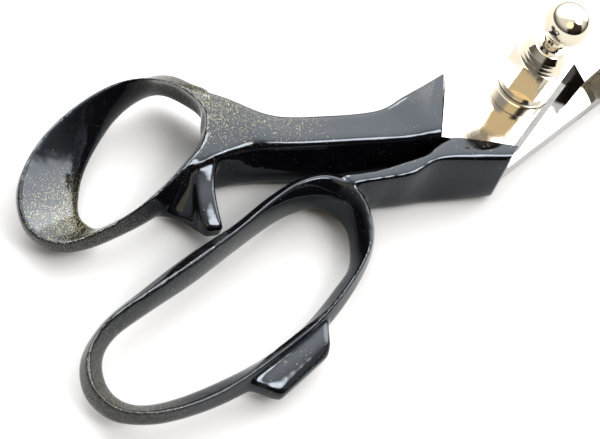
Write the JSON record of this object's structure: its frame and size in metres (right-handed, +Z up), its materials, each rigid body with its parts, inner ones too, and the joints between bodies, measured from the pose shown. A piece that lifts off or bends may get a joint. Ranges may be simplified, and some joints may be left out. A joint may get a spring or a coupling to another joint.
{
  "type": "pinking shears",
  "caption": "Bent-handle pinking shears with enamelled bows, polished blades with meshing zigzag faces, and a tall pivot nut topped by a ball knob.",
  "frame": {"origin": "on the pivot axis, at the plane the closed shears lie on", "axes": "+X along the closed blades to their tips, +Z up the pivot bolt to the ball knob, +Y towards the thumb bow"},
  "size_m": [0.2338, 0.0804, 0.0479],
  "materials": {
    "polished_steel": "mirror polished, satin past the ricasso",
    "lower_steel": "polished mating face, satin outside",
    "finger_enamel": "glossy black enamel with fine gold flecks",
    "thumb_enamel": "glossy black enamel with fine gold flecks",
    "bolt_steel": "turned",
    "key_steel": "ground",
    "washer_nickel": "polished nickel",
    "spring_steel": "spring steel",
    "nut_nickel": "turned and plated nickel",
    "knob_nickel": "turned and plated nickel"
  },
  "bodies": {
    "thumb_half": {"thumb_blade": "lower_steel", "thumb_handle": "thumb_enamel", "pivot_bolt": "bolt_steel", "head_key": "key_steel", "washer": "washer_nickel", "spring_washer": "spring_steel"},
    "finger_half": {"finger_blade": "polished_steel", "finger_handle": "finger_enamel"},
    "nut": {"hex_nut": "nut_nickel"},
    "knob": {"ball_knob": "knob_nickel"}
  },
  "joints": [
    {"name": "blade_pivot", "type": "hinge", "parent": "thumb_half", "child": "finger_half", "pos_m": [0, 0, 0.008], "axis": [0, 0, 1], "range_deg": [0, 28]},
    {"name": "nut_turn", "type": "hinge", "parent": "thumb_half", "child": "nut", "pos_m": [0, 0, 0.022], "axis": [0, 0, 1], "range_deg": [-60, 60]},
    {"name": "knob_turn", "type": "hinge", "parent": "thumb_half", "child": "knob", "pos_m": [0, 0, 0.034], "axis": [0, 0, 1], "range_deg": [-180, 180]}
  ]
}
